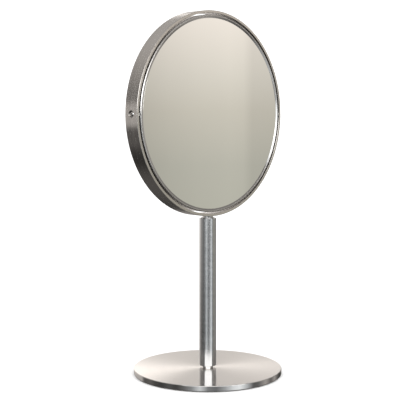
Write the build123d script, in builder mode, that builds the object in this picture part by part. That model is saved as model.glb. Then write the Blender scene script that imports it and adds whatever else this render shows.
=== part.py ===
"""Extendable shaving mirror: a round two-sided mirror that flips inside a hoop, on a telescopic pole.

The origin is on the floor under the pole. +Z is up, the plain mirror faces -Y, and the mirror's
axle lies along X. Everything is in millimetres, with the pole pushed fully down.
"""

import os

from build123d import *

# ---- driving dimensions ------------------------------------------------------------------------

total_height = 340.0
foot_radius = 70.0
plate_thickness = 5.0
pad_proud = 0.5
neck_height = 2.0
neck_radius = 5.0
pole_radius = 8.0
pole_wall = 1.5
ring_radius = 95.0
ring_wall = 2.5
ring_depth = 15.6
ring_gap = 1.5
frame_depth = 16.2
frame_wall = 2.0
glass_radius = 88.0
glass_recess = 0.3
glass_thickness = 3.0
magnifier_thickness = 2.5
magnifier_curve_radius = 750.0
adhesive_thickness = 0.5
travel = 80.0

# ---- fits and edges ----------------------------------------------------------------------------

running_clearance = 0.05
stop_clearance = 0.1
fine_edge = 0.3
soft_edge = 0.5

# ---- foot --------------------------------------------------------------------------------------

pad_thickness = 1.5
pad_radius = 64.8
pad_recess_radius = 65.0
base_screw_radius = 3.0
base_screw_head_radius = 6.0
base_screw_clearance_radius = 3.2
base_screw_length = 17.0
plate_bottom = pad_proud
plate_top = plate_bottom + plate_thickness

# ---- pole --------------------------------------------------------------------------------------

head_centre = total_height - ring_radius
ring_bottom = head_centre - ring_radius
pole_bottom = plate_top + neck_height
pole_top = ring_bottom - neck_height
pole_bore_radius = pole_radius - pole_wall
plug_length = 14.0
plug_top = pole_bottom + plug_length
bump_thickness = 2.0
bump_radius = 6.0
bump_top = plug_top + bump_thickness
bush_length = 24.0
bush_bottom = pole_top - bush_length

# ---- rod, its glide sleeve and its end fittings ------------------------------------------------

small_screw_radius = 2.0
end_screw_head_radius = 3.8
end_screw_head_height = 2.2
end_screw_length = 10.0
end_washer_radius = 5.8
end_washer_thickness = 1.0
journal_radius = 4.0
sleeve_length = 16.0
sleeve_radius = pole_bore_radius - 3 * running_clearance
sleeve_side_play = 0.1
brake_ring_section_radius = 0.75
brake_ring_centre_radius = pole_bore_radius - running_clearance - brake_ring_section_radius
brake_groove_width = 1.9
brake_ring_inset = 4.0
end_screw_bottom = bump_top + stop_clearance
washer_bottom = end_screw_bottom + end_screw_head_height
rod_bottom = washer_bottom + end_washer_thickness
sleeve_bottom = rod_bottom + sleeve_side_play
sleeve_top = sleeve_bottom + sleeve_length
shoulder_height = sleeve_top + sleeve_side_play
thread_spare = 2.0

# ---- hoop and mirror ---------------------------------------------------------------------------

ring_inner_radius = ring_radius - ring_wall
frame_radius = ring_inner_radius - ring_gap
frame_inner_radius = frame_radius - frame_wall
ring_half_depth = ring_depth / 2
frame_half_depth = frame_depth / 2
glass_front = -(ring_half_depth - glass_recess)
glass_back = glass_front + glass_thickness
core_front = glass_back + adhesive_thickness
magnifier_edge_back = -glass_front
magnifier_edge_front = magnifier_edge_back - magnifier_thickness
magnifier_sag = magnifier_curve_radius - (magnifier_curve_radius**2 - glass_radius**2) ** 0.5
core_edge_back = magnifier_edge_front - adhesive_thickness
frame_nose_radius = 1.0
bevel_radius = 89.8
bevel_slope = (frame_half_depth + glass_front) / (bevel_radius - glass_radius)
ring_screw_head_radius = 4.0
ring_screw_length = 13.0

# ---- pivots ------------------------------------------------------------------------------------

pivot_radius = 1.5
pivot_head_radius = 2.75
pivot_head_top = ring_radius - stop_clearance
pivot_head_seat = 93.4
pivot_head_edge = 93.7
pivot_seat_radius = 3.1
pivot_end = 83.0
spacer_eye_radius = 3.2
spacer_half_length = 7.6
spacer_height = 2.4
spacer_face = 91.55
spacer_edge = 0.4
bush_face = 91.45
bush_flange_radius = 7.9
bush_barrel_radius = 3.0
bush_end = 82.0
bush_pocket_end = 81.5

# ---- hex sockets: across flats and depth -------------------------------------------------------

base_screw_key = 4.0
base_screw_key_depth = 2.3
small_screw_key = 2.5
small_screw_key_depth = 1.4
pivot_key = 2.0
pivot_key_depth = 1.1

assert sleeve_top + travel < bush_bottom

mirror_axis = Axis((0, 0, head_centre), (0, 1, 0))
pivot_axis = Axis((0, 0, head_centre), (1, 0, 0))
turning_plane = Plane.XY.offset(head_centre)


def hex_radius(across_flats):
    """Corner radius of a hexagon from its size across flats."""
    return across_flats / 3**0.5


def pivot_plane(side, distance):
    """A plane across the axle at this distance from the centre, its normal pointing outwards."""
    return Plane(origin=(side * distance, 0, head_centre), x_dir=(0, 1, 0), z_dir=(side, 0, 0))


def write(part, name):
    """Labels a finished piece and writes it as one STEP file."""
    part.label = name
    export_step(part, f"parts/{name}.step")


os.makedirs("parts", exist_ok=True)

# ---- foot: plate, pad and screw ----------------------------------------------------------------

with BuildPart() as base_plate:
    with BuildSketch(Plane.XY.offset(plate_bottom)):
        Circle(foot_radius)
    extrude(amount=plate_thickness)
    fillet(base_plate.edges().group_by(Axis.Z)[-1], soft_edge)
    fillet(base_plate.edges().group_by(Axis.Z)[0], fine_edge)
    with BuildSketch(Plane.XY.offset(plate_bottom)):
        Circle(pad_recess_radius)
    extrude(amount=pad_thickness - pad_proud, mode=Mode.SUBTRACT)
    with BuildSketch(Plane.XY.offset(pad_thickness)):
        Circle(base_screw_clearance_radius)
    extrude(amount=plate_thickness, mode=Mode.SUBTRACT)
    # The countersink is a cone from the recess floor up to the clearance hole.
    with BuildSketch(Plane.XZ):
        with BuildLine():
            Polyline(
                (0, pad_thickness),
                (base_screw_head_radius, pad_thickness),
                (0, pad_thickness + base_screw_head_radius),
                close=True,
            )
        make_face()
    revolve(axis=Axis.Z, mode=Mode.SUBTRACT)
write(base_plate.part, "base_plate")

with BuildPart() as base_pad:
    with BuildSketch():
        Circle(pad_radius)
    extrude(amount=pad_thickness)
    fillet(base_pad.edges().group_by(Axis.Z)[0], fine_edge)
write(base_pad.part, "base_pad")

# The screw is a flat countersunk head and a plain shank at the thread's outside diameter.
with BuildPart() as base_screw:
    with BuildSketch(Plane.XZ):
        with BuildLine():
            Polyline(
                (0, pad_thickness),
                (base_screw_head_radius, pad_thickness),
                (base_screw_radius, pad_thickness + base_screw_head_radius - base_screw_radius),
                (base_screw_radius, pad_thickness + base_screw_length),
                (0, pad_thickness + base_screw_length),
                close=True,
            )
        make_face()
    revolve(axis=Axis.Z)
    with BuildSketch(Plane.XY.offset(pad_thickness)):
        RegularPolygon(hex_radius(base_screw_key), 6)
    extrude(amount=base_screw_key_depth, mode=Mode.SUBTRACT)
write(base_screw.part, "base_screw")

# ---- pole: plug, tube, bump stop and guide bush ------------------------------------------------

# The plug fills the tube's foot, and its narrower neck stands on the plate.
with BuildPart() as foot_plug:
    with BuildSketch(Plane.XY.offset(plate_top)):
        Circle(neck_radius)
    extrude(amount=neck_height)
    with BuildSketch(Plane.XY.offset(pole_bottom)):
        Circle(pole_bore_radius)
    extrude(amount=plug_length)
    chamfer(foot_plug.edges().group_by(Axis.Z)[-1], soft_edge)
    with BuildSketch(Plane.XY.offset(plate_top)):
        Circle(base_screw_radius)
    extrude(amount=pad_thickness + base_screw_length - plate_top + fine_edge, mode=Mode.SUBTRACT)
write(foot_plug.part, "foot_plug")

with BuildPart() as pole_tube:
    with BuildSketch(Plane.XY.offset(pole_bottom)):
        Circle(pole_radius)
        Circle(pole_bore_radius, mode=Mode.SUBTRACT)
    extrude(amount=pole_top - pole_bottom)
    outer_rims = pole_tube.edges().filter_by(GeomType.CIRCLE).sort_by(SortBy.RADIUS)[-2:]
    fillet(outer_rims, fine_edge)
write(pole_tube.part, "pole_tube")

with BuildPart() as bump_stop:
    with BuildSketch(Plane.XY.offset(plug_top)):
        Circle(bump_radius)
    extrude(amount=bump_thickness)
    fillet(bump_stop.edges().group_by(Axis.Z)[-1], soft_edge)
write(bump_stop.part, "bump_stop")

with BuildPart() as guide_bush:
    with BuildSketch(Plane.XY.offset(bush_bottom)):
        Circle(pole_bore_radius)
        Circle(neck_radius + running_clearance, mode=Mode.SUBTRACT)
    extrude(amount=bush_length)
    chamfer(guide_bush.edges().group_by(Axis.Z)[-1].sort_by(SortBy.RADIUS)[0], fine_edge)
write(guide_bush.part, "guide_bush")

# ---- slider: glide sleeve and its two rubber rings ---------------------------------------------

brake_heights = (sleeve_bottom + brake_ring_inset, sleeve_top - brake_ring_inset)
brake_groove_radius = brake_ring_centre_radius - brake_ring_section_radius

with BuildPart() as glide_sleeve:
    with BuildSketch(Plane.XY.offset(sleeve_bottom)):
        Circle(sleeve_radius)
        Circle(journal_radius + running_clearance, mode=Mode.SUBTRACT)
    extrude(amount=sleeve_length)
    for height in brake_heights:
        with BuildSketch(Plane.XY.offset(height - brake_groove_width / 2)):
            Circle(pole_bore_radius)
            Circle(brake_groove_radius, mode=Mode.SUBTRACT)
        extrude(amount=brake_groove_width, mode=Mode.SUBTRACT)
write(glide_sleeve.part, "glide_sleeve")

for name, height in zip(("brake_ring_lower", "brake_ring_upper"), brake_heights):
    with BuildPart() as brake_ring:
        with BuildSketch(Plane.XZ):
            with Locations((brake_ring_centre_radius, height)):
                Circle(brake_ring_section_radius)
        revolve(axis=Axis.Z)
    write(brake_ring.part, name)

# ---- rod and its fittings ----------------------------------------------------------------------

# The rod's top is shaped to the hoop that it carries, and its foot is turned down for the sleeve.
with BuildPart() as slide_rod:
    with BuildSketch(Plane.XY.offset(shoulder_height)):
        Circle(neck_radius)
    extrude(amount=ring_bottom + ring_wall - shoulder_height)
    with BuildSketch(Plane.XZ.offset(-ring_depth)):
        with Locations((0, head_centre)):
            Circle(ring_radius)
    extrude(amount=2 * ring_depth, mode=Mode.SUBTRACT)
    with BuildSketch(Plane.XY.offset(rod_bottom)):
        Circle(journal_radius)
    extrude(amount=shoulder_height - rod_bottom)
    with BuildSketch(Plane.XY.offset(rod_bottom)):
        Circle(small_screw_radius)
    extrude(amount=end_screw_length + thread_spare, mode=Mode.SUBTRACT)
    with BuildSketch(Plane.XY.offset(ring_bottom - ring_screw_length)):
        Circle(small_screw_radius)
    extrude(amount=ring_screw_length + ring_wall, mode=Mode.SUBTRACT)
write(slide_rod.part, "slide_rod")

with BuildPart() as rod_end_washer:
    with BuildSketch(Plane.XY.offset(washer_bottom)):
        Circle(end_washer_radius)
        Circle(small_screw_radius, mode=Mode.SUBTRACT)
    extrude(amount=end_washer_thickness)
write(rod_end_washer.part, "rod_end_washer")

with BuildPart() as rod_end_screw:
    with BuildSketch(Plane.XY.offset(end_screw_bottom)):
        Circle(end_screw_head_radius)
    extrude(amount=end_screw_head_height)
    fillet(rod_end_screw.edges().group_by(Axis.Z)[0], soft_edge)
    with BuildSketch(Plane.XY.offset(washer_bottom)):
        Circle(small_screw_radius)
    extrude(amount=end_washer_thickness + end_screw_length)
    with BuildSketch(Plane.XY.offset(end_screw_bottom)):
        RegularPolygon(hex_radius(small_screw_key), 6)
    extrude(amount=small_screw_key_depth, mode=Mode.SUBTRACT)
write(rod_end_screw.part, "rod_end_screw")

# ---- hoop and the screw that holds it on the rod -----------------------------------------------

ring_screw_top = ring_bottom + ring_wall - stop_clearance
ring_screw_neck = ring_screw_top - (ring_screw_head_radius - small_screw_radius)

with BuildPart() as outer_ring:
    with BuildSketch(Plane.XZ.offset(-ring_half_depth)):
        with Locations((0, head_centre)):
            Circle(ring_radius)
            Circle(ring_inner_radius, mode=Mode.SUBTRACT)
    extrude(amount=ring_depth)
    fillet(outer_ring.edges(), fine_edge)
    # The seat of the screw from inside the hoop's lowest point.
    with BuildSketch(Plane.XZ):
        with BuildLine():
            Polyline(
                (0, ring_bottom - fine_edge),
                (small_screw_radius, ring_bottom - fine_edge),
                (small_screw_radius, ring_screw_neck),
                (ring_screw_head_radius, ring_screw_top),
                (ring_screw_head_radius, ring_screw_top + soft_edge),
                (0, ring_screw_top + soft_edge),
                close=True,
            )
        make_face()
    revolve(axis=Axis.Z, mode=Mode.SUBTRACT)
    # The seats of the two pivot screws, from outside.
    for side in (-1, 1):
        with BuildSketch(turning_plane):
            with BuildLine():
                Polyline(
                    (side * (ring_inner_radius - soft_edge), 0),
                    (side * (ring_inner_radius - soft_edge), pivot_radius),
                    (side * pivot_head_seat, pivot_radius),
                    (side * pivot_head_seat, pivot_seat_radius),
                    (side * (ring_radius - fine_edge), pivot_seat_radius),
                    (side * (ring_radius + soft_edge), pivot_seat_radius + fine_edge + soft_edge),
                    (side * (ring_radius + soft_edge), 0),
                    close=True,
                )
            make_face()
        revolve(axis=pivot_axis, mode=Mode.SUBTRACT)
write(outer_ring.part, "outer_ring")

with BuildPart() as ring_screw:
    with BuildSketch(Plane.XZ):
        with BuildLine():
            Polyline(
                (0, ring_screw_top),
                (ring_screw_head_radius, ring_screw_top),
                (small_screw_radius, ring_screw_neck),
                (small_screw_radius, ring_bottom - ring_screw_length + thread_spare),
                (0, ring_bottom - ring_screw_length + thread_spare),
                close=True,
            )
        make_face()
    revolve(axis=Axis.Z)
    with BuildSketch(Plane.XY.offset(ring_screw_top)):
        RegularPolygon(hex_radius(small_screw_key), 6)
    extrude(amount=-small_screw_key_depth, mode=Mode.SUBTRACT)
write(ring_screw.part, "ring_screw")

# ---- mirror: frame, core, two glasses, trim rings and bonding layers ---------------------------


def bevel_depth(radius):
    """How far the bevel round each glass stands from the mirror's middle plane at this radius."""
    return frame_half_depth - bevel_slope * (bevel_radius - radius)


with BuildPart() as mirror_frame:
    with BuildSketch(turning_plane):
        with BuildLine():
            Polyline(
                (frame_inner_radius, -bevel_depth(frame_inner_radius)),
                (bevel_radius, -frame_half_depth),
                (frame_radius, -frame_half_depth),
                (frame_radius, frame_half_depth),
                (bevel_radius, frame_half_depth),
                (frame_inner_radius, bevel_depth(frame_inner_radius)),
                close=True,
            )
        make_face()
        fillet(vertices().group_by(Axis.X)[-1], frame_nose_radius)
    revolve(axis=mirror_axis)
    for side in (-1, 1):
        with BuildSketch(pivot_plane(side, bush_end)):
            Circle(bush_barrel_radius)
        extrude(amount=frame_radius - bush_end + soft_edge, mode=Mode.SUBTRACT)
write(mirror_frame.part, "mirror_frame")

with BuildPart() as plain_glass:
    with BuildSketch(Plane.XZ.offset(-glass_back)):
        with Locations((0, head_centre)):
            Circle(glass_radius)
    extrude(amount=glass_thickness)
    chamfer(plain_glass.edges().group_by(Axis.Y)[0], fine_edge)
write(plain_glass.part, "plain_glass")


def dished_back(thickness_behind):
    """Where a dished surface that deep in front of the mirror's back meets the axis and the rim."""
    rim = magnifier_edge_back - thickness_behind
    return rim - magnifier_sag, rim


# The magnifier's back is hollow, and its front runs parallel to it.
back_middle, back_rim = dished_back(0)
front_middle, front_rim = dished_back(magnifier_thickness)
bond_middle, bond_rim = dished_back(magnifier_thickness + adhesive_thickness)

with BuildPart() as magnifying_glass:
    with BuildSketch(turning_plane):
        with BuildLine():
            TangentArc((0, back_middle), (glass_radius, back_rim), tangent=(1, 0))
            Line((glass_radius, back_rim), (glass_radius, front_rim))
            TangentArc((0, front_middle), (glass_radius, front_rim), tangent=(1, 0))
            Line((0, front_middle), (0, back_middle))
        make_face()
    revolve(axis=mirror_axis)
write(magnifying_glass.part, "magnifying_glass")

with BuildPart() as rear_adhesive:
    with BuildSketch(turning_plane):
        with BuildLine():
            TangentArc((0, front_middle), (glass_radius, front_rim), tangent=(1, 0))
            Line((glass_radius, front_rim), (glass_radius, bond_rim))
            TangentArc((0, bond_middle), (glass_radius, bond_rim), tangent=(1, 0))
            Line((0, bond_middle), (0, front_middle))
        make_face()
    revolve(axis=mirror_axis)
write(rear_adhesive.part, "rear_adhesive")

with BuildPart() as front_adhesive:
    with BuildSketch(Plane.XZ.offset(-core_front)):
        with Locations((0, head_centre)):
            Circle(glass_radius)
    extrude(amount=adhesive_thickness)
write(front_adhesive.part, "front_adhesive")

with BuildPart() as mirror_core:
    with BuildSketch(turning_plane):
        with BuildLine():
            TangentArc((0, bond_middle), (glass_radius, bond_rim), tangent=(1, 0))
            Polyline(
                (glass_radius, bond_rim),
                (frame_inner_radius, core_edge_back),
                (frame_inner_radius, core_front),
                (0, core_front),
                (0, bond_middle),
            )
        make_face()
    revolve(axis=mirror_axis)
    for side in (-1, 1):
        with BuildSketch(pivot_plane(side, bush_pocket_end)):
            Circle(bush_barrel_radius)
        extrude(amount=frame_radius - bush_pocket_end, mode=Mode.SUBTRACT)
write(mirror_core.part, "mirror_core")

# A trim ring goes in between each glass and the frame, and carries the frame's bevel on to the glass.
trims = (("front_trim", -1, -core_front), ("rear_trim", 1, core_edge_back))
for name, face, foot in trims:
    with BuildPart() as trim_ring:
        with BuildSketch(turning_plane):
            with BuildLine():
                Polyline(
                    (glass_radius, face * foot),
                    (glass_radius, face * bevel_depth(glass_radius)),
                    (frame_inner_radius, face * bevel_depth(frame_inner_radius)),
                    (frame_inner_radius, face * foot),
                    close=True,
                )
            make_face()
        revolve(axis=mirror_axis)
    write(trim_ring.part, name)

# ---- pivots: screw, spacer and flanged bush on each side ---------------------------------------

for side, hand in ((-1, "left"), (1, "right")):
    with BuildPart() as pivot_screw:
        with BuildSketch(turning_plane):
            with BuildLine():
                Polyline(
                    (side * pivot_head_top, 0),
                    (side * pivot_end, 0),
                    (side * pivot_end, pivot_radius),
                    (side * pivot_head_seat, pivot_radius),
                    (side * pivot_head_seat, pivot_head_radius),
                    (side * pivot_head_edge, pivot_head_radius),
                )
                TangentArc(
                    (side * pivot_head_top, 0),
                    (side * pivot_head_edge, pivot_head_radius),
                    tangent=(0, 1),
                )
            make_face()
        revolve(axis=pivot_axis)
        with BuildSketch(pivot_plane(side, pivot_head_top - pivot_key_depth)):
            RegularPolygon(hex_radius(pivot_key), 6)
        extrude(amount=pivot_key_depth, mode=Mode.SUBTRACT)
    write(pivot_screw.part, f"pivot_screw_{hand}")

    # The spacer is a narrow bar with an eye. One face is flat for the bush, and the other follows
    # the inside of the hoop. Its rounded ends show in the gap.
    with BuildPart() as pivot_spacer:
        with BuildSketch(pivot_plane(side, spacer_face)):
            Circle(spacer_eye_radius)
            Rectangle(2 * spacer_half_length, spacer_height)
            Circle(pivot_radius, mode=Mode.SUBTRACT)
        extrude(amount=ring_wall)
        with BuildSketch(Plane.XZ.offset(-ring_half_depth)):
            with Locations((0, head_centre)):
                Circle(ring_inner_radius)
        extrude(amount=ring_depth, mode=Mode.INTERSECT)
        for end in (0, -1):
            end_edges = pivot_spacer.edges().group_by(Axis.Y)[end]
            fillet(end_edges.sort_by(SortBy.LENGTH)[-2:], spacer_edge)
    write(pivot_spacer.part, f"pivot_spacer_{hand}")

    # The bush's flange lies on the round frame, and its barrel goes in through the frame's wall.
    with BuildPart() as pivot_bush:
        with BuildSketch(pivot_plane(side, bush_end)):
            Circle(bush_flange_radius)
        extrude(amount=bush_face - bush_end)
        with BuildSketch(Plane.XZ.offset(-frame_half_depth)):
            with Locations((0, head_centre)):
                Circle(frame_radius)
        extrude(amount=frame_depth, mode=Mode.SUBTRACT)
        with BuildSketch(pivot_plane(side, bush_end)):
            Circle(bush_barrel_radius)
        extrude(amount=bush_face - bush_end)
        with BuildSketch(pivot_plane(side, bush_end)):
            Circle(pivot_radius + running_clearance)
        extrude(amount=bush_face - bush_end, mode=Mode.SUBTRACT)
    write(pivot_bush.part, f"pivot_bush_{hand}")
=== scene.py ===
import math
from collections import namedtuple

import bpy
import numpy as np
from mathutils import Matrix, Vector


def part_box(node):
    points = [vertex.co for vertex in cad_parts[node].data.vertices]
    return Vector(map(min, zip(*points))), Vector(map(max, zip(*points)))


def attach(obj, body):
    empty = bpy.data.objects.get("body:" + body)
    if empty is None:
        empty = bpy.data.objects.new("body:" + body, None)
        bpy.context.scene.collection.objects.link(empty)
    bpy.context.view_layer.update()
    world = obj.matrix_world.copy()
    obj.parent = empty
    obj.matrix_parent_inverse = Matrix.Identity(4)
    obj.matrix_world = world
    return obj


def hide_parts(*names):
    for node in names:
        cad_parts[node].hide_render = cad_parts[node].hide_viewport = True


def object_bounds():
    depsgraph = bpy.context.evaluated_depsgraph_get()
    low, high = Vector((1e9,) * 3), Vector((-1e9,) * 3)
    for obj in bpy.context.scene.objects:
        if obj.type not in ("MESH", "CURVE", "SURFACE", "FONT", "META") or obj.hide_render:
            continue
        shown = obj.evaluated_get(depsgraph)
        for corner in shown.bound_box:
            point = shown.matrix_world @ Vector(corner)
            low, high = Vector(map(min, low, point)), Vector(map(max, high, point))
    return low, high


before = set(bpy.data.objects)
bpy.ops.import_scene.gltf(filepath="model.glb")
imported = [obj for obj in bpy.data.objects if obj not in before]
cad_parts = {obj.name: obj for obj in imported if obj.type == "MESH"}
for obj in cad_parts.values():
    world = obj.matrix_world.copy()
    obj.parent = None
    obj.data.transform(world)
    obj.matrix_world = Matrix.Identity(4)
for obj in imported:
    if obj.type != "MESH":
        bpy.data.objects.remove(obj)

# A two-sided mirror that flips in a hoop on a telescopic pole, in metres, in the CAD model's frame.
# The large round pieces are built again here with finer rims. The rest are shown as CAD nodes.

cad_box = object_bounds()
scene = bpy.context.scene
mm = 0.001

# ---- sizes -------------------------------------------------------------------------------------

head_height = (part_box("mirror_frame")[0].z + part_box("mirror_frame")[1].z) / 2
fine_edge = 0.3 * mm
soft_edge = 0.5 * mm
past_surface = 1.0 * mm

pad_clearance = 0.2 * mm
base_screw_hole_radius = 3.2 * mm
ring_screw_radius = 2.0 * mm
pivot_radius = 1.5 * mm
pivot_seat_radius = 3.1 * mm
pivot_seat = 93.4 * mm
bush_barrel_radius = 3.0 * mm
bezel_nose_radius = 1.0 * mm
bezel_crest_inset = 1.2 * mm
bezel_crest_rounding = 0.6 * mm
ground_edge = 0.15 * mm
magnifier_curve_radius = 750 * mm
magnifier_thickness = 2.5 * mm

# ---- camera ------------------------------------------------------------------------------------

camera_azimuth = math.radians(-45.535)
camera_heading = math.radians(-45.103)
camera_pitch = math.radians(4.9165)
camera_distance = 0.96556
camera_height = 0.24768
camera_lens = 92.978
camera_near_limit = 0.05


def make_camera():
    """The camera stands in front and to the left of the mirror, and looks a little down."""
    data = bpy.data.cameras.new("camera")
    data.lens = camera_lens
    data.clip_start = camera_near_limit
    camera = bpy.data.objects.new("camera", data)
    camera.location = (
        camera_distance * math.sin(camera_azimuth),
        -camera_distance * math.cos(camera_azimuth),
        camera_height,
    )
    camera.rotation_euler = (math.pi / 2 - camera_pitch, 0, camera_heading)
    scene.collection.objects.link(camera)
    scene.camera = camera


# ---- node helpers ------------------------------------------------------------------------------


def feed(tree, socket, value):
    """Joins a socket to another one, or sets its own value."""
    if isinstance(value, bpy.types.NodeSocket):
        tree.links.new(value, socket)
    else:
        socket.default_value = value


def calc(tree, operation, *values):
    """A Math node's result."""
    node = tree.nodes.new("ShaderNodeMath")
    node.operation = operation
    for socket, value in zip(node.inputs, values):
        feed(tree, socket, value)
    return node.outputs[0]


def combine(tree, x, y, z):
    """A vector from three numbers or sockets."""
    node = tree.nodes.new("ShaderNodeCombineXYZ")
    for socket, value in zip(node.inputs, (x, y, z)):
        feed(tree, socket, value)
    return node.outputs[0]


def separate(tree, vector):
    """The three sockets of a vector."""
    node = tree.nodes.new("ShaderNodeSeparateXYZ")
    feed(tree, node.inputs[0], vector)
    return node.outputs


def product(tree, a, b):
    """Two colours multiplied, part by part."""
    node = tree.nodes.new("ShaderNodeVectorMath")
    node.operation = "MULTIPLY"
    tree.links.new(a, node.inputs[0])
    tree.links.new(b, node.inputs[1])
    return node.outputs[0]


def noise(tree, vector, detail, w=None, roughness=0.5):
    """A noise value from 0 to 1 at this point."""
    node = tree.nodes.new("ShaderNodeTexNoise")
    node.noise_dimensions = "3D" if w is None else "4D"
    feed(tree, node.inputs["Vector"], vector)
    if w is not None:
        feed(tree, node.inputs["W"], w)
    node.inputs["Scale"].default_value = 1.0
    node.inputs["Detail"].default_value = detail
    node.inputs["Roughness"].default_value = roughness
    return node.outputs["Fac"]


def remap(tree, value, low, high, to_low, to_high, smooth=False):
    """Maps low..high to to_low..to_high, held at both ends."""
    node = tree.nodes.new("ShaderNodeMapRange")
    node.clamp = True
    if smooth:
        node.interpolation_type = "SMOOTHSTEP"
    for socket, number in zip(node.inputs, (value, low, high, to_low, to_high)):
        feed(tree, socket, number)
    return node.outputs[0]


def blend_colour(tree, share, a, b):
    """Colour a where share is 0, and colour b where it is 1."""
    node = tree.nodes.new("ShaderNodeMix")
    node.data_type = "RGBA"
    # Inputs 6 and 7 are the node's pair of colours.
    feed(tree, node.inputs[0], share)
    feed(tree, node.inputs[6], a)
    feed(tree, node.inputs[7], b)
    return node.outputs[2]


def ramp(tree, value, stops):
    """A colour ramp from (position, colour) pairs."""
    node = tree.nodes.new("ShaderNodeValToRGB")
    elements = node.color_ramp.elements
    while len(elements) < len(stops):
        elements.new(1.0)
    for element, (position, colour) in zip(elements, stops):
        element.position = position
        element.color = colour
    feed(tree, node.inputs[0], value)
    return node.outputs["Color"]


def graded(tree, value, stops):
    """The colour at this value, from (number, colour) stops that start and end the range."""
    low, high = stops[0][0], stops[-1][0]
    place = remap(tree, value, low, high, 0, 1)
    return ramp(tree, place, [((number - low) / (high - low), colour) for number, colour in stops])


def tinted(level, tint=(1.0, 1.0, 1.0)):
    """A tinted grey as the four numbers of a colour."""
    return (level * tint[0], level * tint[1], level * tint[2], 1.0)


# ---- studio ------------------------------------------------------------------------------------

# Angles in degrees. Azimuth is from the camera's line of sight, to the right, and elevation is up.
Patch = namedtuple("Patch", "azimuth elevation half_width half_height softness")

warm = (1.0, 0.945, 0.895)
neutral = (1.0, 0.99, 0.975)
cool = (0.95, 0.985, 1.0)

# The floor, walls and ceiling behind everything else: elevation, level and tint.
surroundings = (
    (-90, 0.06, neutral),
    (-50, 0.13, warm),
    (-42, 0.12, warm),
    (-36, 0.025, warm),
    (-28, 0.05, warm),
    (-20, 0.12, warm),
    (-14, 0.18, warm),
    (-6, 0.38, warm),
    (3, 0.44, warm),
    (8, 0.28, warm),
    (12, 0.22, warm),
    (19, 0.25, warm),
    (27, 0.34, warm),
    (35, 0.42, warm),
    (43, 0.52, warm),
    (60, 0.50, neutral),
    (90, 0.65, neutral),
)

# The lights that stand low round the object, and the wall above them: azimuth, level and tint.
# Each band's elevations say where it starts, where it is full, where it thins out and where it ends.
low_lights = (
    (-180, 0.28, cool),
    (-168, 0.85, cool),
    (-155, 0.33, cool),
    (-143, 0.17, neutral),
    (-131, 0.07, neutral),
    (-118, 0.11, neutral),
    (-105, 0.06, neutral),
    (-92, 0.08, warm),
    (-80, 0.15, warm),
    (-68, 0.11, warm),
    (-57, 0.18, warm),
    (-46, 0.32, warm),
    (-34, 1.10, warm),
    (-21, 0.20, warm),
    (-8, 0.95, warm),
    (5, 0.90, warm),
    (14, 0.30, warm),
    (22, 0.06, warm),
    (34, 0.07, warm),
    (45, 0.18, warm),
    (54, 0.42, warm),
    (66, 0.15, warm),
    (80, 0.45, warm),
    (96, 0.15, neutral),
    (106, 0.12, neutral),
    (117, 0.60, cool),
    (130, 1.15, cool),
    (141, 0.95, cool),
    (154, 0.48, cool),
    (167, 0.20, cool),
    (180, 0.28, cool),
)
low_band = (-26.0, -19.0, -12.0, -6.0)
wall_lights = (
    (-180, 0.32, cool),
    (-166, 0.74, cool),
    (-153, 0.50, cool),
    (-139, 0.42, cool),
    (-124, 0.24, neutral),
    (-108, 0.36, neutral),
    (-91, 0.50, warm),
    (-84, 0.45, warm),
    (-70, 0.78, warm),
    (-42, 0.90, warm),
    (-20, 0.95, warm),
    (10, 0.80, warm),
    (25, 0.40, warm),
    (43, 0.20, warm),
    (56, 0.40, warm),
    (71, 0.30, warm),
    (92, 0.34, neutral),
    (109, 0.34, neutral),
    (125, 0.38, cool),
    (139, 0.30, cool),
    (153, 0.20, cool),
    (167, 0.20, cool),
    (180, 0.32, cool),
)
wall_band = (-12.0, -6.0, 5.0, 10.0)

# Plain soft cards: the place, the level and the tint.
cards = {
    "window_ahead": (Patch(-11, 17, 7, 8, 1.5), 1.85, warm),
    "side_light": (Patch(127, 5, 12, 8, 2), 1.6, cool),
    "softbox_by_camera": (Patch(170, 17, 50, 13, 2), 3.1, neutral),
}

# The view beyond the object and the view in the mirror's glass change with elevation.
view_ahead = Patch(-26, 3, 34, 24, 4)
view_ahead_stops = (
    (-20.0, (0.12, 0.113, 0.107, 1.0)),
    (-14.0, (0.58, 0.545, 0.52, 1.0)),
    (-6.0, (0.84, 0.79, 0.75, 1.0)),
    (3.0, (1.22, 1.155, 1.095, 1.0)),
    (10.0, (1.34, 1.27, 1.20, 1.0)),
    (14.0, (1.10, 1.04, 0.99, 1.0)),
    (17.0, (0.72, 0.68, 0.645, 1.0)),
    (21.0, (0.50, 0.47, 0.45, 1.0)),
    (27.0, (0.36, 0.34, 0.32, 1.0)),
)
mirror_view = Patch(88, 0, 15, 11, 3)
mirror_view_stops = (
    (-6.0, (0.49, 0.478, 0.41, 1.0)),
    (-3.0, (0.515, 0.498, 0.43, 1.0)),
    (0.0, (0.63, 0.59, 0.51, 1.0)),
    (2.0, (0.75, 0.70, 0.62, 1.0)),
    (5.0, (0.93, 0.85, 0.77, 1.0)),
)
# A doorway's edge makes the view in the glass a step darker on the right: azimuth and share.
mirror_view_shade = (
    (84.0, 0.86),
    (86.9, 0.89),
    (87.4, 1.01),
    (88.2, 1.03),
    (90.0, 0.98),
    (91.5, 0.91),
    (93.2, 0.80),
    (96.0, 0.76),
)

background_strength = 1.5
floor_half_side = 60.0
floor_drop = 0.2 * mm
floor_level = 0.88
floor_roughness = 0.9


def sky_angles(tree):
    """Azimuth and elevation of the direction looked in, in degrees."""
    x, y, z = separate(tree, tree.nodes.new("ShaderNodeTexCoord").outputs["Generated"])
    compass = calc(tree, "ADD", calc(tree, "ARCTAN2", x, y), camera_heading)
    azimuth = calc(tree, "WRAP", calc(tree, "DEGREES", compass), 180, -180)
    elevation = calc(tree, "DEGREES", calc(tree, "ARCSINE", z))
    return azimuth, elevation


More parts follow.
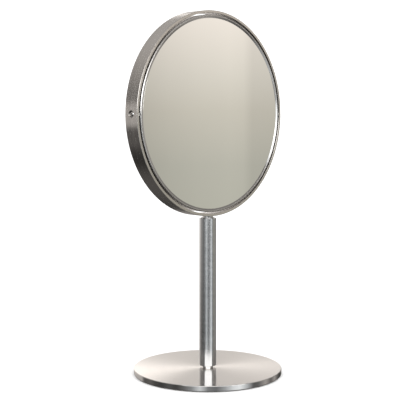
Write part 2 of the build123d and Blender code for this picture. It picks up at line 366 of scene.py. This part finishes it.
def patch_mask(tree, azimuth, elevation, patch):
    """1 on the patch and 0 off it, with soft edges."""
    turn = calc(tree, "WRAP", calc(tree, "SUBTRACT", azimuth, patch.azimuth), 180, -180)
    across = calc(tree, "ABSOLUTE", turn)
    up = calc(tree, "ABSOLUTE", calc(tree, "SUBTRACT", elevation, patch.elevation))
    soft = patch.softness
    sides = remap(tree, across, patch.half_width - soft, patch.half_width + soft, 1, 0, True)
    ends = remap(tree, up, patch.half_height - soft, patch.half_height + soft, 1, 0, True)
    return calc(tree, "MULTIPLY", sides, ends)


def band_mask(tree, elevation, band):
    """1 in the middle of a band of elevations and 0 outside it, with soft edges."""
    foot, full, top, end = band
    rising = remap(tree, elevation, foot, full, 0, 1, True)
    falling = remap(tree, elevation, top, end, 1, 0, True)
    return calc(tree, "MULTIPLY", rising, falling)


def graded_light(tree, angle, lights):
    """The colour at this angle, from (angle, level, tint) lights."""
    return graded(tree, angle, [(place, tinted(level, tint)) for place, level, tint in lights])


def studio_colour(tree):
    """What metal and glass see round the object."""
    azimuth, elevation = sky_angles(tree)
    colour = graded_light(tree, elevation, surroundings)
    for band, lights in ((low_band, low_lights), (wall_band, wall_lights)):
        share = band_mask(tree, elevation, band)
        colour = blend_colour(tree, share, colour, graded_light(tree, azimuth, lights))
    share = patch_mask(tree, azimuth, elevation, view_ahead)
    colour = blend_colour(tree, share, colour, graded(tree, elevation, view_ahead_stops))
    for patch, level, tint in cards.values():
        share = patch_mask(tree, azimuth, elevation, patch)
        colour = blend_colour(tree, share, colour, tinted(level, tint))
    view = graded(tree, elevation, mirror_view_stops)
    shade = graded(tree, azimuth, [(angle, tinted(share)) for angle, share in mirror_view_shade])
    share = patch_mask(tree, azimuth, elevation, mirror_view)
    return blend_colour(tree, share, colour, product(tree, view, shade))


def make_studio():
    """Plain white to look at and to light the floor. Metal sees soft cards round the object."""
    world = bpy.data.worlds.new("studio")
    scene.world = world
    world.use_nodes = True
    world.cycles.sampling_method = "NONE"
    tree = world.node_tree
    tree.nodes.clear()
    reflected = tree.nodes.new("ShaderNodeBackground")
    feed(tree, reflected.inputs["Color"], studio_colour(tree))
    plain = tree.nodes.new("ShaderNodeBackground")
    plain.inputs["Color"].default_value = tinted(1.0)
    plain.inputs["Strength"].default_value = background_strength
    choice = tree.nodes.new("ShaderNodeMixShader")
    path = tree.nodes.new("ShaderNodeLightPath")
    tree.links.new(path.outputs["Is Glossy Ray"], choice.inputs[0])
    tree.links.new(plain.outputs[0], choice.inputs[1])
    tree.links.new(reflected.outputs[0], choice.inputs[2])
    output = tree.nodes.new("ShaderNodeOutputWorld")
    tree.links.new(choice.outputs[0], output.inputs["Surface"])


def make_floor():
    """A plain pale floor that metal doesn't see."""
    side = floor_half_side
    mesh = bpy.data.meshes.new("floor")
    corners = [(-side, -side, 0), (side, -side, 0), (side, side, 0), (-side, side, 0)]
    mesh.from_pydata(corners, [], [(0, 1, 2, 3)])
    floor = bpy.data.objects.new("floor", mesh)
    floor.location.z = cad_box[0].z - floor_drop
    floor.visible_glossy = False
    scene.collection.objects.link(floor)
    material = bpy.data.materials.new("floor")
    material.use_nodes = True
    shader = material.node_tree.nodes["Principled BSDF"]
    shader.inputs["Base Color"].default_value = tinted(floor_level)
    shader.inputs["Roughness"].default_value = floor_roughness
    shader.inputs["Specular IOR Level"].default_value = 0.0
    mesh.materials.append(material)


# ---- turned shapes -----------------------------------------------------------------------------

# A station is a point of an outline and the outward normal there: radius, height along the axle,
# and the normal's radial and axial parts. A run is a smooth stretch of stations.

arc_steps = 6
dish_steps = 40
hoop_segments = 512
piece_segments = 256
pole_segments = 128
cutter_segments = 48
on_axle = 1e-9
surface_tolerance = 4e-6
least_match = 0.7
level_face = 0.9


def rounded_corner(before, corner, after):
    """Where a corner's rounding starts and ends, and its run, which is None at a sharp corner."""
    r, h, rounding = corner
    if rounding == 0:
        return (r, h), (r, h), None
    one = Vector((r - before[0], h - before[1])).normalized()
    two = Vector((after[0] - r, after[1] - h)).normalized()
    turn = math.atan2(one.x * two.y - one.y * two.x, one.dot(two))
    reach = rounding * math.tan(abs(turn) / 2)
    start = Vector((r, h)) - one * reach
    normal = Vector((one.y, -one.x))
    sign = math.copysign(1, turn)
    centre = start - normal * rounding * sign
    run = []
    for step in range(arc_steps + 1):
        angle = turn * step / arc_steps
        nr = normal.x * math.cos(angle) - normal.y * math.sin(angle)
        nh = normal.x * math.sin(angle) + normal.y * math.cos(angle)
        run.append((centre.x + sign * rounding * nr, centre.y + sign * rounding * nh, nr, nh))
    return run[0][:2], run[-1][:2], run


def straight(a, b):
    """A run from a to b."""
    along = Vector((b[0] - a[0], b[1] - a[1])).normalized()
    return [(*a, along.y, -along.x), (*b, along.y, -along.x)]


def outline(corners, closed=True):
    """The runs of an outline from (radius, height, rounding) corners, anticlockwise."""
    count = len(corners)
    ends = []
    for i, corner in enumerate(corners):
        ends.append(rounded_corner(corners[i - 1], corner, corners[(i + 1) % count]))
    runs = []
    for i, (_, finish, run) in enumerate(ends):
        if run:
            runs.append(run)
        if closed or i < count - 1:
            runs.append(straight(finish, ends[(i + 1) % count][0]))
    return runs


def dish(middle, curve_radius, rim_radius, facing):
    """A run over a dished face, outwards where facing is -1 and inwards where it is 1."""
    run = []
    for step in range(dish_steps + 1):
        radius = rim_radius * step / dish_steps
        fall = math.sqrt(curve_radius**2 - radius**2)
        normal = (-facing * radius / curve_radius, facing * fall / curve_radius)
        run.append((radius, middle + curve_radius - fall, *normal))
    return run if facing < 0 else run[::-1]


def lathe(name, runs, axis, height=0.0, segments=piece_segments):
    """A turned mesh object about the Z axis, or about the Y direction at this height."""
    rings, verts, faces = {}, [], []

    def ring(r, h):
        """The first vertex of the ring at this station, and whether the ring is a single point."""
        key = (round(r, 9), round(h, 9))
        if key not in rings:
            rings[key] = len(verts)
            for k in range(segments if r > on_axle else 1):
                angle = 2 * math.pi * k / segments
                x, y = r * math.cos(angle), r * math.sin(angle)
                verts.append((x, y, h) if axis == "Z" else (x, h, height - y))
        return rings[key], r <= on_axle

    for run in runs:
        for a, b in zip(run, run[1:]):
            first, first_is_point = ring(*a[:2])
            second, second_is_point = ring(*b[:2])
            if first == second:
                continue
            for k in range(segments):
                n = (k + 1) % segments
                if first_is_point:
                    faces.append((first, second + n, second + k))
                elif second_is_point:
                    faces.append((first + k, first + n, second))
                else:
                    faces.append((first + k, first + n, second + n, second + k))
    mesh = bpy.data.meshes.new(name)
    mesh.from_pydata(verts, [], faces, shade_flat=False)
    piece = bpy.data.objects.new(name, mesh)
    scene.collection.objects.link(piece)
    return piece


def bore(piece, *cutters):
    """Cuts holes and seats out of a piece, and clears the cutters away."""
    for cutter in cutters:
        modifier = piece.modifiers.new("seat", "BOOLEAN")
        modifier.operation = "DIFFERENCE"
        modifier.solver = "EXACT"
        modifier.object = cutter
    cut = piece.evaluated_get(bpy.context.evaluated_depsgraph_get())
    mesh = bpy.data.meshes.new_from_object(cut)
    piece.modifiers.clear()
    piece.data = mesh
    for cutter in cutters:
        bpy.data.objects.remove(cutter)


def corner_places(mesh, axis, height):
    """Each face corner's radius, height and direction round the axle, and its face's normal."""
    points = np.array([vertex.co for vertex in mesh.vertices], float)
    x, y, z = points[[loop.vertex_index for loop in mesh.loops]].T
    a, b, h = (x, y, z) if axis == "Z" else (x, height - z, y)
    r = np.hypot(a, b)
    safe = np.maximum(r, on_axle)
    flat = np.zeros((len(mesh.loops), 3))
    for polygon in mesh.polygons:
        flat[polygon.loop_start : polygon.loop_start + polygon.loop_total] = polygon.normal
    return r, h, a / safe, b / safe, flat


def true_normals(piece, runs, axis, height):
    """Sets each face corner's normal to that of the turned surface it lies on."""
    r, h, c, s, flat = corner_places(piece.data, axis, height)
    best = np.full(len(r), least_match)
    normals = flat.copy()
    for run in runs:
        for one, two in zip(run, run[1:]):
            step = np.array(two[:2]) - np.array(one[:2])
            size = step @ step
            if size < on_axle**2:
                continue
            t = np.clip(((r - one[0]) * step[0] + (h - one[1]) * step[1]) / size, 0, 1)
            away = np.hypot(r - one[0] - t * step[0], h - one[1] - t * step[1])
            nr = one[2] + t * (two[2] - one[2])
            nh = one[3] + t * (two[3] - one[3])
            parts = [nr * c, nr * s, nh] if axis == "Z" else [nr * c, nh, -nr * s]
            found = np.stack(parts, axis=1)
            found /= np.linalg.norm(found, axis=1)[:, None]
            match = (found * flat).sum(1)
            better = (away < surface_tolerance) & (match > best)
            normals[better] = found[better]
            best[better] = match[better]
    piece.data.normals_split_custom_set(normals.tolist())


def turned_piece(name, corners, axis, height=0.0, segments=piece_segments):
    """A turned object with true normals, from its outline's corners."""
    runs = outline(corners)
    piece = lathe(name, runs, axis, height, segments)
    true_normals(piece, runs, axis, height)
    return piece


def cutter_along(direction, corners):
    """A turned cutter about the mirror's axle, or about the pole where direction is 0."""
    cutter = lathe("cutter", outline(corners, closed=False), "Z", segments=cutter_segments)
    if direction:
        cutter.rotation_euler = (0, direction * math.pi / 2, 0)
        cutter.location.z = head_height
    return cutter


def finish_piece(piece, material, body, slot, *nodes):
    """Gives a new piece its material and body, and hides the CAD nodes it stands for."""
    piece.data.materials.clear()
    piece.data.materials.append(material)
    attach(piece, body)
    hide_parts(*nodes)


# ---- materials ---------------------------------------------------------------------------------

# Noise lies mostly between the first two values, and brush lines between the next two.
noise_low = 0.3
noise_high = 0.7
brush_low = 0.35
brush_high = 0.65
brush_roughness = 0.65
fine_share = 0.55
broad_share = 0.45
broad_scale = 5
near_axle = 1e-5
quarter_turn = 0.25


def new_material(name):
    """A material, its tree and its shader."""
    material = bpy.data.materials.new(name)
    material.use_nodes = True
    return material, material.node_tree, material.node_tree.nodes["Principled BSDF"]


def shaded(colour, factor):
    """A colour made darker or lighter, as four numbers."""
    return (*[min(1.0, part * factor) for part in colour], 1.0)


def speckle(tree, per_metre, detail):
    """A noise value from 0 to 1, with this many cells to the metre."""
    scaled = tree.nodes.new("ShaderNodeMapping")
    scaled.inputs["Scale"].default_value = (per_metre, per_metre, per_metre)
    feed(tree, scaled.inputs["Vector"], tree.nodes.new("ShaderNodeTexCoord").outputs["Object"])
    return noise(tree, scaled.outputs[0], detail)


def add_relief(tree, shader, height, depth, strength):
    """Lets a value raise and sink the surface."""
    relief = tree.nodes.new("ShaderNodeBump")
    relief.inputs["Strength"].default_value = strength
    relief.inputs["Distance"].default_value = depth
    feed(tree, relief.inputs["Height"], height)
    tree.links.new(relief.outputs[0], shader.inputs["Normal"])


def turned_position(tree, axis, height):
    """Along the axle, out from it, and the direction round it, for a piece turned about Y or Z."""
    x, y, z = separate(tree, tree.nodes.new("ShaderNodeTexCoord").outputs["Object"])
    if axis == "Y":
        along, a, b = y, x, calc(tree, "SUBTRACT", z, height)
    else:
        along, a, b = z, x, y
    squares = calc(tree, "ADD", calc(tree, "MULTIPLY", a, a), calc(tree, "MULTIPLY", b, b))
    out = calc(tree, "SQRT", squares)
    safe = calc(tree, "MAXIMUM", out, near_axle)
    return along, out, calc(tree, "DIVIDE", a, safe), calc(tree, "DIVIDE", b, safe)


def brush_lines(tree, place, per_metre, per_turn, detail):
    """Fine lines that run round the piece, as a value from 0 to 1."""
    along, out, c, s = place
    vector = combine(
        tree,
        calc(tree, "MULTIPLY", along, per_metre),
        calc(tree, "MULTIPLY", out, per_metre),
        calc(tree, "MULTIPLY", c, per_turn),
    )
    return noise(tree, vector, detail, calc(tree, "MULTIPLY", s, per_turn), brush_roughness)


def turned_steel(name, axis, height, colour, rough, spread, anisotropy, lines, depth, contrast):
    """Steel finished on a lathe: lines round the piece, which spread a reflection across them."""
    material, tree, shader = new_material(name)
    place = turned_position(tree, axis, height)
    fine = brush_lines(tree, place, per_metre=lines, per_turn=1.5, detail=3.0)
    broad = brush_lines(tree, place, per_metre=lines / broad_scale, per_turn=0.8, detail=2.0)
    fine_part = calc(tree, "MULTIPLY", fine, fine_share)
    broad_part = calc(tree, "MULTIPLY", broad, broad_share)
    shade = calc(tree, "ADD", fine_part, broad_part)
    share = remap(tree, shade, brush_low, brush_high, 0, 1)
    dark = shaded(colour, 1 - contrast)
    light = shaded(colour, 1 + contrast)
    feed(tree, shader.inputs["Base Color"], blend_colour(tree, share, dark, light))
    roughness = remap(tree, shade, brush_low, brush_high, rough - spread, rough + spread)
    feed(tree, shader.inputs["Roughness"], roughness)
    shader.inputs["Metallic"].default_value = 1.0
    shader.inputs["Anisotropic"].default_value = anisotropy
    shader.inputs["Anisotropic Rotation"].default_value = quarter_turn
    tangent = tree.nodes.new("ShaderNodeTangent")
    tangent.direction_type = "RADIAL"
    tangent.axis = axis
    tree.links.new(tangent.outputs[0], shader.inputs["Tangent"])
    add_relief(tree, shader, fine, depth, strength=1.0)
    return material


def polished_steel(name, colour=(0.72, 0.71, 0.70), rough=0.07):
    """Bright steel with faint polishing marks."""
    material, tree, shader = new_material(name)
    marks = speckle(tree, per_metre=900, detail=4.0)
    roughness = remap(tree, marks, noise_low, noise_high, rough * 0.7, rough * 1.4)
    feed(tree, shader.inputs["Roughness"], roughness)
    tone = blend_colour(tree, marks, shaded(colour, 0.95), shaded(colour, 1.0))
    feed(tree, shader.inputs["Base Color"], tone)
    shader.inputs["Metallic"].default_value = 1.0
    return material


def mirror_glass(colour=(0.92, 0.93, 0.92), darkest=(0.90, 0.91, 0.90), rough=(0.010, 0.016)):
    """Silvered float glass, a little green, with a trace of unevenness."""
    material, tree, shader = new_material("mirror_glass")
    cloud = speckle(tree, per_metre=30, detail=2.0)
    tone = blend_colour(tree, cloud, shaded(darkest, 1.0), shaded(colour, 1.0))
    feed(tree, shader.inputs["Base Color"], tone)
    feed(tree, shader.inputs["Roughness"], remap(tree, cloud, noise_low, noise_high, *rough))
    shader.inputs["Metallic"].default_value = 1.0
    return material


def moulded(name, colour, rough):
    """Plastic, rubber or foam with a fine grain."""
    material, tree, shader = new_material(name)
    spots = speckle(tree, per_metre=2500, detail=3.0)
    tone = blend_colour(tree, spots, shaded(colour, 0.8), shaded(colour, 1.15))
    feed(tree, shader.inputs["Base Color"], tone)
    roughness = remap(tree, spots, noise_low, noise_high, rough - 0.08, rough + 0.08)
    feed(tree, shader.inputs["Roughness"], roughness)
    add_relief(tree, shader, spots, 0.03 * mm, strength=0.3)
    return material


def paint(material, *names):
    """Gives CAD nodes their material."""
    for name in names:
        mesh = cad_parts[name].data
        mesh.materials.clear()
        mesh.materials.append(material)


# ---- pieces ------------------------------------------------------------------------------------


def make_foot_plate(material, edge_material):
    """The round plate, hollow underneath for its pad and countersunk for its screw."""
    low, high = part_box("base_plate")
    radius = high.x
    hole = base_screw_hole_radius
    recess_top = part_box("base_pad")[1].z
    recess_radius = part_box("base_pad")[1].x + pad_clearance
    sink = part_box("base_screw")[1].x
    corners = (
        (recess_radius, low.z, 0),
        (radius, low.z, fine_edge),
        (radius, high.z, soft_edge),
        (hole, high.z, 0),
        (hole, recess_top + sink - hole, 0),
        (sink, recess_top, 0),
        (recess_radius, recess_top, 0),
    )
    piece = turned_piece("foot_plate", corners, "Z")
    finish_piece(piece, material, "stand", "brushed_steel", "base_plate")
    piece.data.materials.append(edge_material)
    for face in piece.data.polygons:
        outside = math.hypot(face.center.x, face.center.y) > radius - soft_edge
        if outside and abs(face.normal.z) < level_face:
            face.material_index = 1


def make_pole(material):
    """The round tube."""
    low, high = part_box("pole_tube")
    bore_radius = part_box("guide_bush")[1].x
    corners = (
        (bore_radius, low.z, 0),
        (high.x, low.z, fine_edge),
        (high.x, high.z, fine_edge),
        (bore_radius, high.z, 0),
    )
    piece = turned_piece("pole", corners, "Z", segments=pole_segments)
    finish_piece(piece, material, "stand", "brushed_steel", "pole_tube")


def pivot_seat_corners(inner, outer):
    """A pivot screw's hole and counterbore through the hoop, with a fine outer edge."""
    return (
        (0, inner - past_surface, 0),
        (pivot_radius, inner - past_surface, 0),
        (pivot_radius, pivot_seat, 0),
        (pivot_seat_radius, pivot_seat, 0),
        (pivot_seat_radius, outer - fine_edge, 0),
        (pivot_seat_radius + fine_edge + past_surface, outer + past_surface, 0),
        (0, outer + past_surface, 0),
    )


def ring_screw_seat_corners(bottom):
    """The countersunk hole at the hoop's lowest point, cut from inside the hoop."""
    screw_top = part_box("ring_screw")[1].z
    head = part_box("ring_screw")[1].x
    return (
        (0, bottom - past_surface, 0),
        (ring_screw_radius, bottom - past_surface, 0),
        (ring_screw_radius, screw_top - (head - ring_screw_radius), 0),
        (head, screw_top, 0),
        (head, screw_top + past_surface, 0),
        (0, screw_top + past_surface, 0),
    )


def make_hoop(material):
    """The deep flat hoop, with seats for its own screw and for the two pivot screws."""
    low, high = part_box("outer_ring")
    outer = high.x
    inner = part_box("pivot_spacer_right")[1].x
    corners = (
        (inner, low.y, fine_edge),
        (outer, low.y, fine_edge),
        (outer, high.y, fine_edge),
        (inner, high.y, fine_edge),
    )
    runs = outline(corners)
    piece = lathe("hoop", runs, "Y", head_height, segments=hoop_segments)
    seat = pivot_seat_corners(inner, outer)
    screw_seat = ring_screw_seat_corners(low.z)
    bore(piece, cutter_along(1, seat), cutter_along(-1, seat), cutter_along(0, screw_seat))
    true_normals(piece, runs, "Y", head_height)
    finish_piece(piece, material, "head", "brushed_steel", "outer_ring")


def make_bezel(material):
    """The mirror's frame, rounded outside and bevelled inside, with a hole for each bush."""
    low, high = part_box("mirror_frame")
    outer = high.x
    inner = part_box("front_trim")[1].x
    trim_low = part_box("front_trim")[0].y
    crest = outer - bezel_crest_inset
    corners = (
        (inner, trim_low, 0),
        (crest, low.y, bezel_crest_rounding),
        (outer, low.y, bezel_nose_radius),
        (outer, high.y, bezel_nose_radius),
        (crest, high.y, bezel_crest_rounding),
        (inner, -trim_low, 0),
    )
    hole = (
        (0, inner - past_surface, 0),
        (bush_barrel_radius, inner - past_surface, 0),
        (bush_barrel_radius, outer + past_surface, 0),
        (0, outer + past_surface, 0),
    )
    runs = outline(corners)
    piece = lathe("bezel", runs, "Y", head_height, segments=hoop_segments)
    bore(piece, cutter_along(1, hole), cutter_along(-1, hole))
    true_normals(piece, runs, "Y", head_height)
    finish_piece(piece, material, "mirror", "polished_steel", "mirror_frame")


def make_trims(material):
    """The two trim rings that carry the bevel on to the glass."""
    glass_low, glass_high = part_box("plain_glass")
    for name, node, front in (("trim_front", "front_trim", True), ("trim_rear", "rear_trim", False)):
        low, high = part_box(node)
        corners = (
            (glass_high.x, glass_low.y if front else low.y, 0),
            (high.x, low.y, 0),
            (high.x, high.y, 0),
            (glass_high.x, high.y if front else -glass_low.y, 0),
        )
        piece = turned_piece(name, corners, "Y", head_height)
        finish_piece(piece, material, "mirror", "polished_steel", node)


def make_plain_glass(material):
    """The flat glass with a ground edge."""
    low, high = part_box("plain_glass")
    corners = (
        (0, low.y, 0),
        (high.x - ground_edge, low.y, 0),
        (high.x, low.y + ground_edge, 0),
        (high.x, high.y, 0),
        (0, high.y, 0),
    )
    runs = outline(corners, closed=False)
    piece = lathe("glass_plain", runs, "Y", head_height)
    true_normals(piece, runs, "Y", head_height)
    finish_piece(piece, material, "mirror", "mirror_glass", "plain_glass")


def make_magnifying_glass(material):
    """The dished glass on the back, hollow towards +Y."""
    low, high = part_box("magnifying_glass")
    curve = magnifier_curve_radius
    sag = curve - math.sqrt(curve**2 - high.x**2)
    front = dish(high.y - magnifier_thickness - sag, curve, high.x, -1)
    back = dish(high.y - sag, curve, high.x, 1)
    runs = [front, straight(front[-1][:2], back[0][:2]), back]
    piece = lathe("glass_magnifying", runs, "Y", head_height)
    true_normals(piece, runs, "Y", head_height)
    finish_piece(piece, material, "mirror", "mirror_glass", "magnifying_glass")


# ---- the scene ---------------------------------------------------------------------------------

make_camera()
make_studio()
make_floor()
scene.view_settings.view_transform = "Standard"

plate_steel = turned_steel(
    "plate_steel",
    axis="Z",
    height=0,
    colour=(0.71, 0.69, 0.67),
    rough=0.19,
    spread=0.015,
    anisotropy=0.95,
    lines=2500,
    depth=0.0006 * mm,
    contrast=0.03,
)
pole_steel = turned_steel(
    "pole_steel",
    axis="Z",
    height=0,
    colour=(0.60, 0.61, 0.62),
    rough=0.15,
    spread=0.015,
    anisotropy=0.9,
    lines=1400,
    depth=0.001 * mm,
    contrast=0.08,
)
ring_steel = turned_steel(
    "ring_steel",
    axis="Y",
    height=head_height,
    colour=(0.67, 0.65, 0.63),
    rough=0.20,
    spread=0.03,
    anisotropy=0.85,
    lines=900,
    depth=0.0015 * mm,
    contrast=0.1,
)
chrome = polished_steel("polished_steel")
screw_steel = polished_steel("screw_steel", colour=(0.7, 0.7, 0.69), rough=0.13)
bezel_steel = polished_steel("bezel_steel", rough=0.19)
satin_nickel = polished_steel("satin_nickel", colour=(0.95, 0.94, 0.91), rough=0.4)
glass = mirror_glass()
rubber = moulded("rubber", colour=(0.03, 0.03, 0.03), rough=0.6)
acetal = moulded("acetal", colour=(0.035, 0.035, 0.035), rough=0.4)
core_plastic = moulded("core_plastic", colour=(0.05, 0.05, 0.055), rough=0.5)
foam = moulded("foam_tape", colour=(0.75, 0.75, 0.72), rough=0.85)

paint(plate_steel, "base_plate")
paint(pole_steel, "pole_tube")
paint(ring_steel, "outer_ring")
paint(bezel_steel, "mirror_frame")
paint(chrome, "front_trim", "rear_trim", "foot_plug", "slide_rod")
paint(chrome, "pivot_screw_left", "pivot_screw_right")
paint(satin_nickel, "pivot_spacer_left", "pivot_spacer_right")
paint(screw_steel, "base_screw", "rod_end_screw", "ring_screw", "rod_end_washer")
paint(glass, "plain_glass", "magnifying_glass")
paint(rubber, "base_pad", "bump_stop", "brake_ring_lower", "brake_ring_upper")
paint(acetal, "guide_bush", "glide_sleeve", "pivot_bush_left", "pivot_bush_right")
paint(core_plastic, "mirror_core")
paint(foam, "front_adhesive", "rear_adhesive")

make_foot_plate(plate_steel, chrome)
make_pole(pole_steel)
make_hoop(ring_steel)
make_bezel(bezel_steel)
make_trims(chrome)
make_plain_glass(glass)
make_magnifying_glass(glass)
